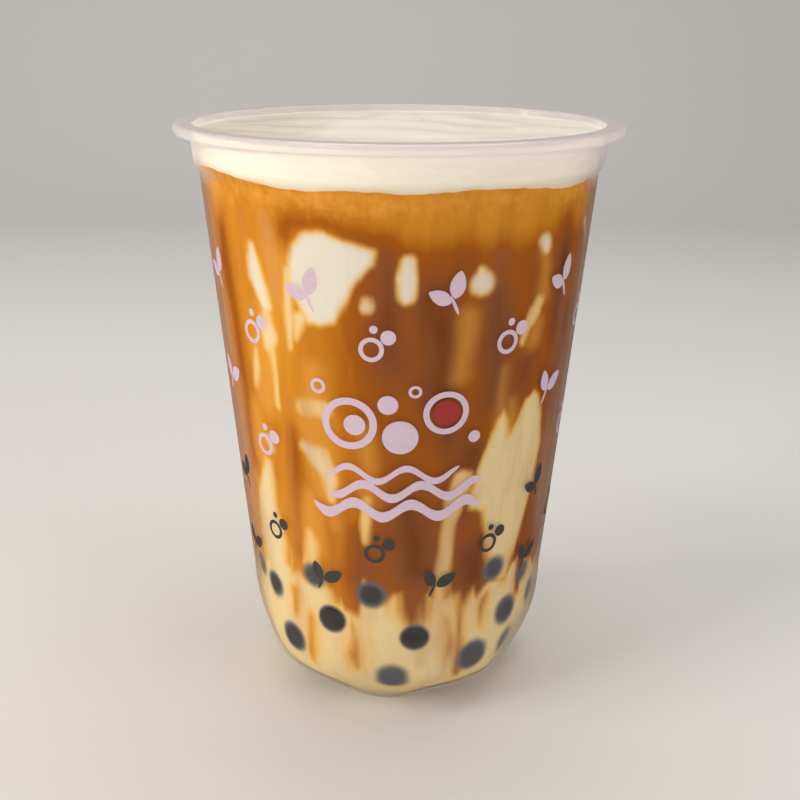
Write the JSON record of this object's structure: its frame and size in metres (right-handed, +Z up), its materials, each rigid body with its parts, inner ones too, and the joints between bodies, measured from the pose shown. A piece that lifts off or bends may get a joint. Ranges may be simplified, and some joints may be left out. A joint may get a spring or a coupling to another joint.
{
  "type": "bubble tea",
  "caption": "Clear takeaway cup with a petal base, filled almost to the rim with marbled milk tea under a cap of milk foam.",
  "frame": {"origin": "centre of the base's box on the surface the cup stands on", "axes": "+Z up along the cup's axis; -Y towards the shown front; +X to the viewer's right"},
  "size_m": [0.095, 0.095, 0.1293],
  "materials": {
    "clear_cup": "clear moulded polypropylene, slightly milky, glossy",
    "foam": "cream-coloured milk foam, soft and moist",
    "tea": "amber-brown milk tea marbled with pale milk",
    "pearls": "dark cooked tapioca, smooth and wet",
    "print": "thin screen print in pale lilac and dark grey"
  },
  "bodies": {
    "root": {"cup": "clear_cup", "milk_foam": "foam", "milk_tea": "tea"}
  },
  "joints": []
}
